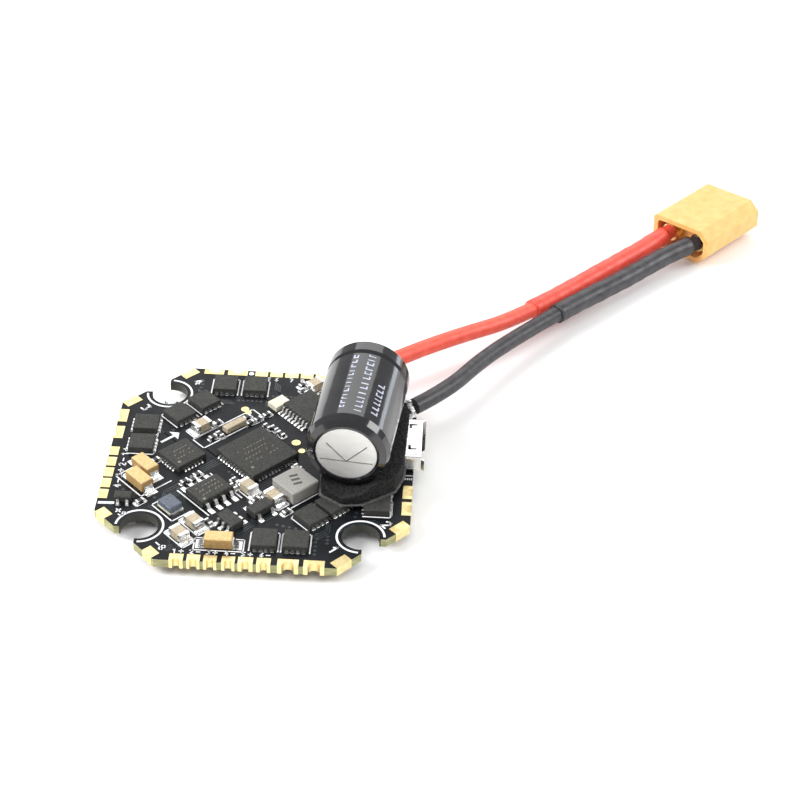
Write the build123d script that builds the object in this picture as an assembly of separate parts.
from build123d import *
import math
import os

os.makedirs("parts", exist_ok=True)

# Flight controller board with its battery lead.
# Frame: origin at the centre of the mounting pattern on the board's underside, +Z up,
# +X towards the USB socket, +Y towards the edge nearest the battery lead. Millimetres.

# ---- driving dimensions -------------------------------------------------------------
HOLE_PITCH = 25.5
BOARD_SIDE = 36.7
BOARD_THICK = 1.1
CHAMFER_SUM = 28.7          # |x| + |y| along each cut corner
HOLE_R = 2.2                # open mounting holes, for rubber dampers
HOLE_MOUTH = 13.0           # corner material beyond this in x and y is removed
SURFACE_GAP = 1.3           # the tallest underside parts, which the board stands on

HALF = BOARD_SIDE / 2
TOP = BOARD_THICK
HOLE_AT = HOLE_PITCH / 2
FLOOR = -SURFACE_GAP
PLATE = 0.05                # copper and tin thickness
PAD_DEPTH = 1.1             # edge pads reach this far in from the board's edge
CORNER_DISTANCE = CHAMFER_SUM / math.sqrt(2)
CORNER_PAD_ALONG = 4.5      # corner pads sit this far each side of the diagonal
CORNER_PADS = [(-45, 2.2), (135, 2.2), (225, 1.7), (45, 2.2)]   # corner angle, pad length

# Edge pads: (from, to) along each edge.
LEFT_MOTOR_PADS = [(6.5, 9.0), (3.2, 5.6)]
LEFT_SIGNAL_PADS = [(-0.1, 1.5), (-2.15, -0.5), (-4.2, -2.5), (-6.2, -4.5), (-8.2, -6.55)]
BOTTOM_MOTOR_PADS = [(3.65, 6.05), (6.6, 9.0)]
BOTTOM_SIGNAL_PADS = [(-8.6, -7.0), (-6.6, -5.1), (-4.7, -3.2), (-2.65, -1.15), (-0.8, 0.9), (1.3, 2.9)]
RIGHT_MOTOR_PADS = [(-5.6, -3.2), (-8.6, -6.2)]
TOP_MOTOR_PADS = [(-9.0, -6.5), (-6.0, -3.5)]
TOP_SIGNAL_PADS = [(-2.5, -0.9), (-0.6, 1.0), (1.3, 3.0), (3.3, 4.9), (5.2, 6.8)]
SIGNAL_HOLE_R = 0.4
MOTOR_HOLE_R = 0.7

# Capacitor: lies on the foam, axis level.
CAP_R = 5.0
CAP_LENGTH = 16.0
CAP_SLEEVE = 0.15
CAP_FRONT = (10.6, -6.3)    # centre of the vent face, in plan
CAP_REAR = (12.4, 9.6)
CAP_AXIS_Z = TOP + 7.0
CAP_CAN_R = CAP_R - CAP_SLEEVE
LEAD_R = 0.3
LEAD_HALF_PITCH = 2.5

# Micro USB socket on the right edge, opening towards +X.
USB_CENTRE_Y = 3.2
USB_REAR_X = 14.2
USB_FRONT_X = 19.2
USB_WIDTH = 7.5
USB_HEIGHT = 2.5
USB_WALL = 0.25
USB_LIP = 0.4

# Two-pole power plug, lying on the surface at the end of the battery lead.
PLUG_REAR = (54.3, 54.4)
PLUG_HEADING = 48.8
PLUG_ROLL = 4.0
PLUG_LENGTH = 12.4
PLUG_WIDTH = 9.4
PLUG_HEIGHT = 5.1
PLUG_CHAMFER = 1.4
PLUG_RECESS = 2.6
PLUG_WALL = 0.7
CONTACT_PITCH = 4.8
CONTACT_R = 1.3
CONTACT_REAR = 0.8
SOCKET_R = 1.0

# Battery lead routes, from the solder joint to the plug.
WIRE_R = 1.05
SLEEVE_R = 1.33
RED_ROUTE = [
    (11.3, 17.6, 2.25),
    (17.2, 22.1, 2.6),
    (23.9, 26.6, 2.7),
    (29.6, 30.7, 2.2),
    (36.6, 38.95, 1.1),
    (43.4, 46.7, 0.8),
    (49.8, 53.2, 1.0),
    (53.1, 56.7, 1.5),
]
BLACK_ROUTE = [
    (18.0, 11.0, 2.25),
    (22.1, 14.9, 2.2),
    (26.4, 22.1, 2.1),
    (31.9, 28.9, 1.9),
    (38.5, 36.5, 1.5),
    (46.2, 44.4, 1.05),
    (52.9, 51.4, 1.3),
    (56.7, 53.5, 1.8),
]
SLEEVE_FROM = 3             # the sleeves start half way along this run of each route
MIN_BEND_DIAMETERS = 5

UP = (Align.CENTER, Align.CENTER, Align.MIN)
DOWN = (Align.CENTER, Align.CENTER, Align.MAX)
QUARTER = 45                # the central parts are laid out at 45 degrees to the board


# ---- helpers --------------------------------------------------------------------------
def put(shape, x, y, z=TOP, turn=0.0):
    return Pos(x, y, z) * Rot(0, 0, turn) * shape


def join(shapes):
    """Several separate solids as one shape."""
    return Compound(children=[s for shape in shapes for s in shape.solids()])


def save(name, shape):
    solids = shape.solids()
    whole = solids[0] if len(solids) == 1 else Compound(children=list(solids))
    export_step(whole, f"parts/{name}.step")


def block(length, width, height, edge=0.0):
    body = Box(length, width, height, align=UP)
    if edge:
        body = chamfer(body.edges().group_by(Axis.Z)[-1], edge)
    return body


def side_pads(width, count, pitch, pad_width, reach, height):
    """Pads that stick out from both long sides (+Y and -Y) of a body."""
    pads = []
    for i in range(count):
        x = (i - (count - 1) / 2) * pitch
        for side in (-1, 1):
            y = side * (width / 2 + reach / 2)
            pads.append(Pos(x, y, 0) * Box(pad_width, reach, height, align=UP))
    return pads


def quad_pads(side, count, pitch, reach, height):
    """Terminals on all four sides of a square package."""
    pads = side_pads(side, count, pitch, pitch * 0.5, reach, height)
    return pads + [Rot(0, 0, 90) * p for p in pads]


def gull_wing(reach, height, thick, width):
    """One bent lead: leaves the body at x = 0 and rests on its foot at x = reach."""
    knee = reach * 0.28
    ankle = reach * 0.52
    points = [
        (0, height),
        (knee, height),
        (ankle, thick),
        (reach, thick),
        (reach, 0),
        (ankle - thick * 0.6, 0),
        (knee - thick * 0.6, height - thick),
        (0, height - thick),
    ]
    face = make_face(Polyline(points, close=True))
    return Rot(90, 0, 0) * extrude(face, amount=width / 2, both=True)


def lead_row(count, pitch, body_width, reach, height, thick, width, sides=(-1, 1)):
    """Gull-wing leads along the long sides of a body whose length lies on X."""
    leads = []
    for i in range(count):
        x = (i - (count - 1) / 2) * pitch
        for side in sides:
            turn = 90 * side
            leads.append(Pos(x, side * body_width / 2, 0) * Rot(0, 0, turn) * gull_wing(reach, height, thick, width))
    return leads


def chip_middle(length, width, height, end):
    return Box(length - 2 * end, width, height, align=UP)


def chip_ends(length, width, height, end):
    middle = (length - end) / 2
    return [Pos(s * middle, 0, 0) * Box(end, width + 0.04, height + 0.02, align=UP) for s in (-1, 1)]


def bend_radii(points):
    """The largest arc that each corner of a route has room for."""
    radii = []
    for before, here, after in zip(points, points[1:], points[2:]):
        first = Vector(*here) - Vector(*before)
        second = Vector(*after) - Vector(*here)
        half_turn = math.radians(first.get_angle(second)) / 2
        radii.append(0.45 * min(first.length, second.length) / math.tan(half_turn))
    return radii


def round_tube(points, radii, outer, inner=0.0):
    path = FilletPolyline(*[Vector(*p) for p in points], radius=radii)
    section = Circle(outer)
    if inner:
        section -= Circle(inner)
    plane = Plane(origin=path @ 0, z_dir=path % 0)
    return sweep(plane * section, path=path)


# ---- board ----------------------------------------------------------------------------
def edge_place(edge, along, outward):
    """Plan position of a point given along an edge and outwards from the centre."""
    return {
        "bottom": (along, -outward),
        "right": (outward, along),
        "top": (along, outward),
        "left": (-outward, along),
    }[edge]


EDGE_PADS = {
    "left": [LEFT_SIGNAL_PADS, LEFT_MOTOR_PADS],
    "bottom": [BOTTOM_SIGNAL_PADS, BOTTOM_MOTOR_PADS],
    "right": [[], RIGHT_MOTOR_PADS],
    "top": [TOP_SIGNAL_PADS, TOP_MOTOR_PADS],
}


def edge_holes(edge, extra=0.0):
    holes = []
    for spans, radius in zip(EDGE_PADS[edge], (SIGNAL_HOLE_R, MOTOR_HOLE_R)):
        for low, high in spans:
            x, y = edge_place(edge, (low + high) / 2, HALF)
            holes.append(Pos(x, y, TOP / 2) * Cylinder(radius + extra, TOP + 1))
    return holes


def board_blank():
    span = CHAMFER_SUM - HALF
    outline = Polygon(
        (-span, -HALF), (span, -HALF), (HALF, -span), (HALF, span),
        (span, HALF), (-span, HALF), (-HALF, span), (-HALF, -span),
        align=None,
    )
    blank = extrude(outline, amount=TOP)
    for sx in (-1, 1):
        for sy in (-1, 1):
            blank -= Pos(sx * HOLE_AT, sy * HOLE_AT, TOP / 2) * Cylinder(HOLE_R, TOP + 1)
            mouth = 10
            corner = (sx * (HOLE_MOUTH + mouth / 2), sy * (HOLE_MOUTH + mouth / 2), TOP / 2)
            blank -= Pos(*corner) * Box(mouth, mouth, TOP + 1)
    return blank


def circuit_board():
    board = board_blank()
    for edge in EDGE_PADS:
        for hole in edge_holes(edge, PLATE):
            board -= hole
    return board


def edge_pads(edge, board):
    pads = []
    for spans in EDGE_PADS[edge]:
        for low, high in spans:
            x, y = edge_place(edge, (low + high) / 2, HALF + PLATE - (PAD_DEPTH + PLATE) / 2)
            size = (high - low, PAD_DEPTH + PLATE)
            if edge in ("left", "right"):
                size = (size[1], size[0])
            pads.append(Pos(x, y, -PLATE) * Box(size[0], size[1], TOP + 2 * PLATE, align=UP))
    shape = join(pads) - board
    for hole in edge_holes(edge):
        shape -= hole
    return shape


def corner_pad(angle, along, length, board):
    """Pad on a cut corner: top, edge and underside plating."""
    depth = 1.15
    centre = CORNER_DISTANCE + PLATE - (depth + PLATE) / 2
    pad = Pos(centre, along, -PLATE) * Box(depth + PLATE, length, TOP + 2 * PLATE, align=UP)
    return Rot(0, 0, angle) * pad - board


def corner_pads(angle, length, board):
    return join([corner_pad(angle, s * CORNER_PAD_ALONG, length, board) for s in (-1, 1)])


# ---- packages -------------------------------------------------------------------------
MOSFET_W = 2.85
MOSFET_D = 3.0
MOSFET_H = 0.8
# Centre x, y and the turn of each dual transistor, by the motor that it drives.
MOSFETS = {
    1: [(1.87, -14.45, 0), (5.5, -14.45, 0), (6.8, -10.0, 45)],
    2: [(14.4, -7.5, 90), (14.4, -4.1, 90), (9.15, -7.65, 45)],
    3: [(-14.65, 2.05, 270), (-14.65, 5.9, 270), (-10.9, 8.2, 45)],
    4: [(-5.95, 14.7, 180), (-2.15, 14.7, 180), (-8.2, 11.0, 45)],
}


def mosfets(motor):
    body = block(MOSFET_W, MOSFET_D, MOSFET_H, 0.06)
    return join([put(body, x, y, TOP, turn) for x, y, turn in MOSFETS[motor]])


def mosfet_terminals():
    teeth = side_pads(MOSFET_D, 4, 0.65, 0.35, 0.28, 0.2)
    return join([put(t, x, y, TOP, turn) for rows in MOSFETS.values() for x, y, turn in rows for t in teeth])


MCU = (-0.5, 1.1, 7.0, 0.85, 12, 0.5)
INTERFACE = (-9.5, 0.1, 4.1, 0.85, 6, 0.5)


def square_chip(chip):
    x, y, side, height, _, _ = chip
    return put(block(side, side, height, 0.08), x, y, TOP, QUARTER)


def square_chip_terminals(chip, reach=0.3, height=0.2):
    x, y, side, _, count, pitch = chip
    return join([put(p, x, y, TOP, QUARTER) for p in quad_pads(side, count, pitch, reach, height)])


# Leaded packages: x, y, turn, length, width, height above the board, leads, pitch, reach, lead width.
STAND_OFF = 0.1
FLASH = (-5.4, -6.5, 45, 4.5, 3.2, 1.1, 4, 1.15, 1.25, 0.42)
OSD = (5.1, 10.45, -45, 5.1, 4.4, 1.05, 8, 0.62, 1.0, 0.26)
REGULATOR = (0.85, -9.1, 45, 2.9, 1.65, 1.05, 2, 1.9, 0.75, 0.42)
DRIVER = (-2.4, -11.5, -45, 2.9, 1.6, 1.05, 3, 0.95, 0.75, 0.38)
DIODE = (-15.3, -8.2, 0, 2.0, 1.2, 0.9, 2, 1.1, 0.45, 0.32)


def leaded_body(package):
    x, y, turn, length, width, height = package[:6]
    return put(block(length, width, height - STAND_OFF, 0.12), x, y, TOP + STAND_OFF, turn)


def leaded_legs(package):
    x, y, turn, _, width, height, count, pitch, reach, lead_width = package
    legs = lead_row(count, pitch, width, reach, height * 0.6, 0.14, lead_width)
    return [put(leg, x, y, TOP, turn) for leg in legs]


# ---- passive parts --------------------------------------------------------------------
TANTALUM = (3.2, 1.65, 1.45)
TANTALUMS = [(-13.55, -2.6, -45), (-13.85, -5.2, -45), (-3.25, -15.35, 0)]
CERAMIC = (2.1, 1.35, 1.1)
CERAMICS = [(-7.85, 5.9, 45), (-6.5, -12.1, -45), (-7.9, -14.3, -45), (-0.95, -5.4, -45), (2.2, -7.0, -45), (5.3, 15.3, 45)]
RESISTOR = (1.0, 0.5, 0.4)
RESISTORS = [
    (-6.3, 4.1, 45), (-5.5, 4.7, -45), (-6.1, 7.0, 45), (-2.6, 8.4, 45), (-2.1, 7.3, 45), (-1.2, 8.1, 45),
    (0.1, 6.7, -45), (1.0, 6.4, -45), (1.9, 5.4, -45), (-7.3, -3.2, 45), (-8.6, -4.6, 45), (-7.6, -4.3, 45),
    (-13.3, -8.6, 45), (-2.6, -4.0, -45), (-2.75, -5.1, -45), (3.9, -9.2, 45), (0.1, -7.3, 45), (-0.2, 9.1, 45),
    (-4.9, -11.7, -45), (-12.6, -0.9, 45), (8.4, -4.4, 90), (4.5, -0.9, -45), (4.0, 14.3, -45), (3.7, 15.6, 45),
]


def spread(pieces, places, z=TOP):
    return join([put(p, x, y, z, turn) for x, y, turn in places for p in pieces])


def tantalum_bodies():
    length, width, height = TANTALUM
    return spread([Pos(0, 0, 0.12) * block(length, width, height - 0.12, 0.1)], TANTALUMS)


def tantalum_terminals():
    length, width, height = TANTALUM
    foot = Box(0.8, 1.2, 0.12, align=UP)
    strap = Box(0.12, 1.2, height * 0.5, align=UP)
    middle = length / 2
    pieces = []
    for s in (-1, 1):
        pieces.append(Pos(s * (middle - 0.4), 0, 0) * foot + Pos(s * (middle + 0.06), 0, 0) * strap)
    return spread(pieces, TANTALUMS)


# ---- inductors, oscillator, light and test pads ----------------------------------------
INDUCTOR = (4.6, -4.9, 4.0, 1.6)
SMALL_INDUCTOR = (-9.65, -9.2, 2.4, 1.9, 1.0)
OSCILLATOR = (1.15, 11.4, 2.3, 1.7, 0.7)
RESONATOR = (-3.9, 6.5, 3.0, 1.0, 0.75)
TEST_PADS = [(3.9, 4.0, 0.55), (4.7, 2.45, 0.42), (-3.0, 10.2, 0.5), (-2.55, 9.55, 0.4)]
DOT_HEIGHT = 0.06


def power_inductor_core():
    x, y, side, height = INDUCTOR
    core = block(side, side, height, 0.12)
    core = fillet(core.edges().filter_by(Axis.Z), 0.25)
    return put(core, x, y, TOP, QUARTER)


def power_inductor_terminals():
    x, y, side, height = INDUCTOR
    clip = Box(0.15, 1.6, height * 0.45, align=UP)
    return join([put(Pos(s * (side / 2 + 0.075), 0, 0) * clip, x, y, TOP, QUARTER) for s in (-1, 1)])


def small_inductor_frame():
    x, y, length, width, height = SMALL_INDUCTOR
    return put(Box(length, width, height * 0.25, align=UP), x, y, TOP, -QUARTER)


def small_inductor_core():
    x, y, length, width, height = SMALL_INDUCTOR
    return put(block(length - 0.12, width - 0.12, height * 0.75, 0.08), x, y, TOP + height * 0.25, -QUARTER)


def small_inductor_terminals():
    x, y, length, width, height = SMALL_INDUCTOR
    bar = Box(0.35, width * 0.8, height * 0.35, align=UP)
    return join([put(Pos(s * (length / 2 + 0.175), 0, 0) * bar, x, y, TOP, -QUARTER) for s in (-1, 1)])


def oscillator():
    x, y, length, width, height = OSCILLATOR
    return put(block(length, width, height, 0.06), x, y, TOP, QUARTER)


def resonator():
    x, y, length, width, height = RESONATOR
    return put(block(length, width, height, 0.08), x, y, TOP, QUARTER)


def test_pads():
    return join([Pos(x, y, TOP) * Cylinder(r, DOT_HEIGHT, align=UP) for x, y, r in TEST_PADS])


# ---- USB socket -----------------------------------------------------------------------
def usb_section(width, height, corner):
    return RectangleRounded(width, height, corner)


def usb_shell():
    length = USB_FRONT_X - USB_REAR_X
    middle_z = TOP + USB_HEIGHT / 2
    profile = usb_section(USB_WIDTH, USB_HEIGHT, 0.5)
    profile -= usb_section(USB_WIDTH - 2 * USB_WALL, USB_HEIGHT - 2 * USB_WALL, 0.3)
    plane = Plane(origin=(USB_REAR_X, USB_CENTRE_Y, middle_z), x_dir=(0, 1, 0), z_dir=(1, 0, 0))
    shell = extrude(plane * profile, amount=length)
    # Spring windows in the top: an L on each side.
    for s in (-1, 1):
        y = USB_CENTRE_Y + s * 2.35
        shell -= Pos(18.1, y, TOP + USB_HEIGHT) * Box(1.0, 0.32, 1.2)
        shell -= Pos(17.75, y - s * 0.35, TOP + USB_HEIGHT) * Box(0.32, 0.8, 1.2)
    # Flared lips at the mouth, on top and at both sides.
    lip_top = [(0, 0), (0, -USB_WALL), (USB_LIP, 0.05), (USB_LIP, USB_WALL + 0.05)]
    face = Plane(origin=(USB_FRONT_X, USB_CENTRE_Y, TOP + USB_HEIGHT), x_dir=(1, 0, 0), z_dir=(0, -1, 0))
    lip = extrude(face * make_face(Polyline(lip_top, close=True)), amount=2.9, both=True)
    side = Plane(origin=(USB_FRONT_X, USB_CENTRE_Y + USB_WIDTH / 2, middle_z), x_dir=(1, 0, 0), z_dir=(0, 0, 1))
    side_lip = extrude(side * make_face(Polyline(lip_top, close=True)), amount=0.75, both=True)
    return shell + lip + side_lip + mirror_y(side_lip)


def mirror_y(shape):
    return mirror(shape, about=Plane(origin=(0, USB_CENTRE_Y, 0), z_dir=(0, 1, 0)))


def usb_base():
    depth = 1.6
    width = USB_WIDTH - 2 * USB_WALL - 0.5
    height = USB_HEIGHT - 2 * USB_WALL - 0.1
    return Pos(USB_REAR_X + depth / 2, USB_CENTRE_Y, TOP + USB_WALL + 0.05) * Box(depth, width, height, align=UP)


def usb_tongue():
    start = USB_REAR_X + 1.6
    length = 2.6
    return Pos(start + length / 2, USB_CENTRE_Y, TOP + 1.35) * Box(length, 3.4, 0.55, align=UP)


def usb_contacts():
    start = USB_REAR_X + 1.6
    strip = Box(2.3, 0.3, 0.08, align=DOWN)
    return join([Pos(start + 1.15, USB_CENTRE_Y + i * 0.65, TOP + 1.35) * strip for i in range(-2, 3)])


# ---- foam and capacitor -----------------------------------------------------------------
def cap_plane():
    along = Vector(CAP_REAR[0] - CAP_FRONT[0], CAP_REAR[1] - CAP_FRONT[1], 0)
    return Plane(origin=(CAP_FRONT[0], CAP_FRONT[1], CAP_AXIS_Z), x_dir=along.cross(Vector(0, 0, 1)), z_dir=along)


def can_profile(grow):
    """Half section of the can as (radius, distance from the vent face)."""
    r = CAP_CAN_R + grow
    groove = CAP_LENGTH - 2.5
    return [
        (0, -grow),
        (r - 1.1, -grow),
        (r - 0.32, 0.32 - grow * 0.7),
        (r, 1.1),
        (r, groove - 0.4),
        (r - 0.55, groove),
        (r, groove + 0.4),
        (r, CAP_LENGTH - 0.5),
        (r - 0.4, CAP_LENGTH),
        (0, CAP_LENGTH),
    ]


def turned(points):
    face = make_face(Plane.XZ * Polyline(points, close=True))
    return revolve(face, axis=Axis.Z)


def vent_groove(turn, length):
    return Rot(0, 0, turn) * Pos(length / 2, 0, 0) * Box(length, 0.16, 0.24)


def capacitor_can():
    can = turned(can_profile(0))
    # Pressure vent: score lines that meet below the middle of the face. Local Y points down.
    for turn, length in ((180, 3.1), (0, 3.1), (225, 3.4), (315, 3.4)):
        can -= Pos(0, 1.2, 0) * vent_groove(turn, length)
    inside = Pos(0, 0, 0.35) * Cylinder(CAP_CAN_R - 0.95, CAP_LENGTH - 0.35, align=UP)
    return cap_plane() * (can - inside)


def capacitor_winding():
    return cap_plane() * Pos(0, 0, 0.6) * Cylinder(CAP_CAN_R - 1.1, CAP_LENGTH - 4.4, align=UP)


def capacitor_bung():
    return cap_plane() * Pos(0, 0, CAP_LENGTH - 3.4) * Cylinder(CAP_CAN_R - 0.95, 3.2, align=UP)


def capacitor_sleeve():
    sleeve = turned(can_profile(CAP_SLEEVE)) - turned(can_profile(0))
    sleeve -= Cylinder(CAP_CAN_R - 1.25, 3, align=(Align.CENTER, Align.CENTER, Align.CENTER))
    return cap_plane() * sleeve


JOINT_R = 1.15
JOINTS = [(10.76, 17.05), (17.05, 10.76)]


def battery_solder_joints():
    dome = Sphere(JOINT_R) & Box(4, 4, 4, align=UP)
    return join([Pos(x, y, TOP + PLATE) * dome for x, y in JOINTS])


def capacitor_leads():
    leads = []
    along = Vector(*CAP_REAR, 0) - Vector(*CAP_FRONT, 0)
    along = along.normalized()
    across = along.cross(Vector(0, 0, 1))
    exit_point = Vector(*CAP_FRONT, CAP_AXIS_Z) + along * (CAP_LENGTH - 0.2)
    for side, out, joint in ((1, 1.5, JOINTS[1]), (-1, 2.4, JOINTS[0])):
        start = exit_point + across * (side * LEAD_HALF_PITCH)
        bend = start + along * out
        end = Vector(joint[0], joint[1], TOP + 0.9)
        path = FilletPolyline(start, bend, end, radius=0.8)
        plane = Plane(origin=path @ 0, z_dir=path % 0)
        leads.append(sweep(plane * Circle(LEAD_R), path=path))
    return join(leads)


FOAM_LOW = TOP + 0.9
FOAM_HIGH = TOP + 3.1


def foam_pad():
    outline = Polyline(
        (7.6, -6.6), (10.2, -8.4), (12.6, -8.1), (16.4, -5.4), (17.3, -2.6),
        (17.6, 6.8), (17.2, 9.4), (8.6, 9.4), (8.6, 3.6), (7.5, -1.0),
        close=True,
    )
    pad = extrude(Pos(0, 0, FOAM_LOW) * make_face(outline), amount=FOAM_HIGH - FOAM_LOW)
    pad = fillet(pad.edges().filter_by(Axis.Z), 0.7)
    pad -= cap_plane() * Pos(0, 0, -4) * Cylinder(CAP_R, CAP_LENGTH + 8, align=UP)
    length = 7
    usb_room = Box(length, USB_WIDTH + 0.1, USB_HEIGHT + 0.1, align=UP)
    pad -= Pos(USB_REAR_X + length / 2 - 0.1, USB_CENTRE_Y, TOP - 0.05) * usb_room
    return pad.solids().sort_by(SortBy.VOLUME)[-1]


# ---- plug -------------------------------------------------------------------------------
def plug_plane():
    """Local X across the plug, Y up, Z towards its mating face."""
    heading = math.radians(PLUG_HEADING)
    roll = math.radians(PLUG_ROLL)
    forward = Vector(math.cos(heading), math.sin(heading), 0)
    level = Vector(math.sin(heading), -math.cos(heading), 0)
    across = level * math.cos(roll) + Vector(0, 0, 1) * math.sin(roll)
    lowest = PLUG_WIDTH / 2 * math.sin(roll) + PLUG_HEIGHT / 2 * math.cos(roll)
    return Plane(origin=(*PLUG_REAR, FLOOR + lowest), x_dir=across, z_dir=forward)


def plug_outline(shrink=0.0):
    w = PLUG_WIDTH / 2 - shrink
    h = PLUG_HEIGHT / 2 - shrink
    c = PLUG_CHAMFER - shrink * 0.6
    s = 0.35
    points = [
        (-w, -h + s), (-w + s, -h), (w - c, -h), (w, -h + c),
        (w, h - c), (w - c, h), (-w + s, h), (-w, h - s),
    ]
    return make_face(Polyline(points, close=True))


def plug_housing():
    body = extrude(plug_outline(), amount=PLUG_LENGTH)
    body -= extrude(plug_outline(PLUG_WALL), amount=PLUG_RECESS)
    for s in (-1, 1):
        body -= Pos(s * CONTACT_PITCH / 2, 0, 0) * Cylinder(CONTACT_R, PLUG_LENGTH - 1.0, align=UP)
        body -= Pos(s * CONTACT_PITCH / 2, 0, 0) * Cylinder(SOCKET_R, PLUG_LENGTH + 1, align=UP)
    return plug_plane() * body


def plug_contacts():
    pins = []
    length = PLUG_LENGTH - 1.0 - CONTACT_REAR
    for s in (-1, 1):
        pin = Cylinder(CONTACT_R, length, align=UP)
        pin -= Pos(0, 0, length - 6.5) * Cylinder(SOCKET_R, 7, align=UP)
        pins.append(plug_plane() * Pos(s * CONTACT_PITCH / 2, 0, CONTACT_REAR) * pin)
    return join(pins)


# ---- battery lead ------------------------------------------------------------------------
def lead_wire(name, route):
    radii = bend_radii(route)
    wire = round_tube(route, radii, WIRE_R)
    run = sum((Vector(*b) - Vector(*a)).length for a, b in zip(route, route[1:]))
    expected = math.pi * WIRE_R ** 2 * run
    print(name, "radii", [round(r, 1) for r in radii], "smallest wanted", MIN_BEND_DIAMETERS * 2 * WIRE_R)
    print(name, "run", round(run, 2), "volume", round(wire.volume, 2), "section x length", round(expected, 2))
    return wire


def lead_sleeve(route):
    radii = bend_radii(route)
    start = tuple((Vector(*route[SLEEVE_FROM]) + Vector(*route[SLEEVE_FROM + 1])) * 0.5)
    points = [start] + route[SLEEVE_FROM + 1:-1]
    last = Vector(*route[-2]) + (Vector(*route[-1]) - Vector(*route[-2])) * 0.85
    return round_tube(points + [tuple(last)], radii[SLEEVE_FROM:], SLEEVE_R, WIRE_R)


# ---- underside -----------------------------------------------------------------------------
ESC_CHIP = (3.0, 0.75, 5, 0.5)
ESC_CHIPS = [(-7.5, -7.5, 0), (7.5, -7.5, 0), (-7.5, 7.5, 0), (7.5, 7.5, 0)]
GATE_DRIVERS = [(-12.6, -4.5, 0), (12.6, -8.0, 0), (-12.6, 4.5, 0), (4.0, 12.6, 0)]
GATE_CHIP = (3.0, 0.75)
SENSOR = (0.0, 0.0, 3.0, 2.5, 0.9)
BAROMETER = (-2.0, 8.5, 2.5, 2.0, 0.95)
UNDER_CERAMIC = (3.2, 1.6, SURFACE_GAP)
UNDER_CERAMICS = [(-4.0, -14.5, 0), (9.5, -13.4, 0), (-12.5, 9.0, 90), (12.6, 6.2, 90), (0.0, 14.6, 0), (-14.6, -8.0, 90)]


def under(shape, x, y, turn=0.0):
    """Place a shape built upwards so that it hangs from the underside."""
    return Pos(x, y, 0) * Rot(0, 0, turn) * Rot(180, 0, 0) * shape


def esc_controllers():
    side, height, _, _ = ESC_CHIP
    return join([under(block(side, side, height, 0.06), x, y, turn) for x, y, turn in ESC_CHIPS])


def gate_drivers():
    side, height = GATE_CHIP
    return join([under(block(side, side, height, 0.06), x, y, turn) for x, y, turn in GATE_DRIVERS])


def under_terminals():
    side, _, count, pitch = ESC_CHIP
    pads = quad_pads(side, count, pitch, 0.25, 0.18)
    return join([under(p, x, y, turn) for x, y, turn in ESC_CHIPS + GATE_DRIVERS for p in pads])


def motion_sensor():
    x, y, length, width, height = SENSOR
    return under(block(length, width, height, 0.05), x, y)


def barometer():
    x, y, length, width, height = BAROMETER
    can = block(length, width, height, 0.1)
    return under(can - Pos(0.7, 0.5, height) * Cylinder(0.15, 0.4), x, y)


def under_ceramic_bodies():
    length, width, height = UNDER_CERAMIC
    return join([under(chip_middle(length, width, height - 0.02, 0.5), x, y, t) for x, y, t in UNDER_CERAMICS])


def under_ceramic_ends():
    length, width, height = UNDER_CERAMIC
    ends = chip_ends(length, width, height - 0.02, 0.5)
    return join([under(e, x, y, t) for x, y, t in UNDER_CERAMICS for e in ends])


# Boot button: a low push switch on the underside, near the USB socket.
BUTTON_AT = (13.0, -0.5)
BUTTON_BODY = (3.0, 2.6, 0.65)
BUTTON_PLUNGER_R = 0.65
BUTTON_TRAVEL = 0.2
BUTTON_CLEARANCE = 0.06
BUTTON_PROUD = 0.35


def boot_button_housing():
    length, width, height = BUTTON_BODY
    well = BUTTON_PLUNGER_R + BUTTON_CLEARANCE
    frame = block(length, width, height, 0.05)
    frame -= Pos(0, 0, 0.12) * Cylinder(well, height, align=UP)
    return under(frame, *BUTTON_AT)


def boot_button():
    start = 0.12 + BUTTON_TRAVEL + 0.05
    length = BUTTON_BODY[2] + BUTTON_PROUD - start
    plunger = Pos(0, 0, start) * Cylinder(BUTTON_PLUNGER_R, length, align=UP)
    plunger = fillet(plunger.edges().group_by(Axis.Z)[-1], 0.1)
    return under(plunger, *BUTTON_AT)


# ---- build ------------------------------------------------------------------------------------
board = circuit_board()
save("circuit_board", board)
for edge in EDGE_PADS:
    save(f"{edge}_edge_pads", edge_pads(edge, board))
save("corner_pads", join([corner_pads(angle, length, board) for angle, length in CORNER_PADS]))

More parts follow.
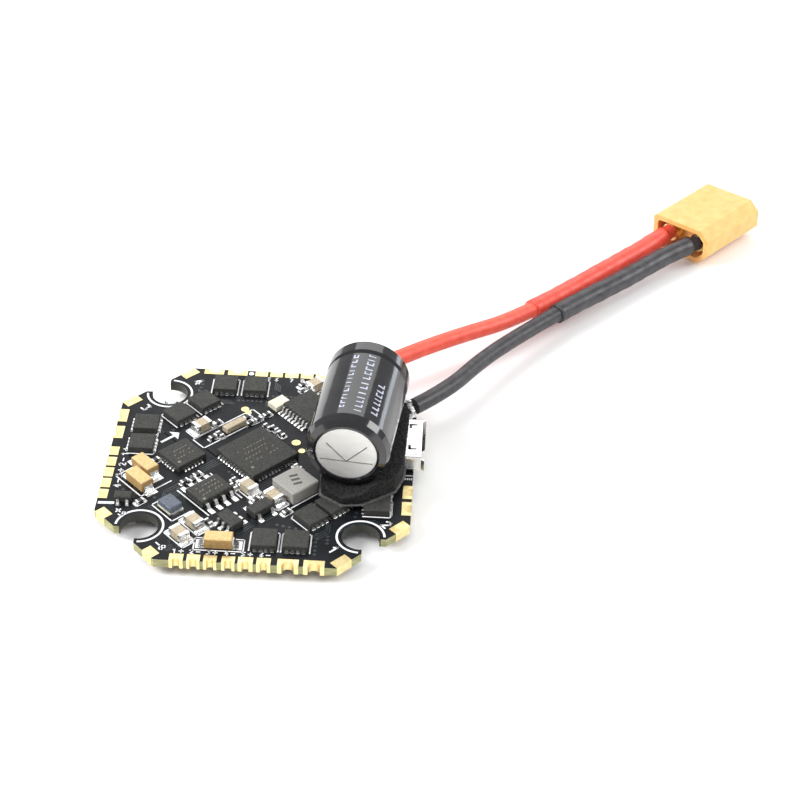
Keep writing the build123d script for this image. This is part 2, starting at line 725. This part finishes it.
for motor in MOSFETS:
    save(f"motor_{motor}_mosfets", mosfets(motor))
save("mosfet_terminals", mosfet_terminals())
save("microcontroller", square_chip(MCU))
save("microcontroller_terminals", square_chip_terminals(MCU))
save("interface_chip", square_chip(INTERFACE))
save("interface_chip_terminals", square_chip_terminals(INTERFACE))
save("flash_chip_body", leaded_body(FLASH))
save("flash_chip_legs", join(leaded_legs(FLASH)))
save("osd_chip_body", leaded_body(OSD))
save("osd_chip_legs", join(leaded_legs(OSD)))
save("small_transistor_bodies", join([leaded_body(p) for p in (REGULATOR, DRIVER, DIODE)]))
save("small_transistor_legs", join([leg for p in (REGULATOR, DRIVER, DIODE) for leg in leaded_legs(p)]))

save("power_inductor_core", power_inductor_core())
save("small_inductor_core", small_inductor_core())
save("small_inductor_frame", small_inductor_frame())
save("inductor_terminals", join([power_inductor_terminals(), small_inductor_terminals()]))
save("tantalum_bodies", tantalum_bodies())
save("tantalum_terminals", tantalum_terminals())
save("ceramic_capacitor_bodies", spread([chip_middle(*CERAMIC, 0.4)], CERAMICS))
save("ceramic_capacitor_ends", spread(chip_ends(*CERAMIC, 0.4), CERAMICS))
save("resistor_bodies", spread([chip_middle(*RESISTOR, 0.22)], RESISTORS))
save("resistor_ends", spread(chip_ends(*RESISTOR, 0.22), RESISTORS))
save("oscillator", oscillator())
save("resonator", resonator())
save("test_pads", test_pads())

save("usb_shell", usb_shell())
save("usb_base", usb_base())
save("usb_tongue", usb_tongue())
save("usb_contacts", usb_contacts())

save("foam_pad", foam_pad())
save("capacitor_can", capacitor_can())
save("capacitor_winding", capacitor_winding())
save("capacitor_sleeve", capacitor_sleeve())
save("capacitor_bung", capacitor_bung())
save("capacitor_leads", capacitor_leads())
save("battery_solder_joints", battery_solder_joints())

save("red_wire", lead_wire("red wire", RED_ROUTE))
save("black_wire", lead_wire("black wire", BLACK_ROUTE))
save("red_sleeve", lead_sleeve(RED_ROUTE))
save("black_sleeve", lead_sleeve(BLACK_ROUTE))
save("plug_housing", plug_housing())
save("plug_contacts", plug_contacts())

save("esc_controllers", esc_controllers())
save("gate_drivers", gate_drivers())
save("underside_terminals", under_terminals())
save("motion_sensor", motion_sensor())
save("barometer", barometer())
save("underside_capacitor_bodies", under_ceramic_bodies())
save("underside_capacitor_ends", under_ceramic_ends())
save("boot_button_housing", boot_button_housing())
save("boot_button", boot_button())
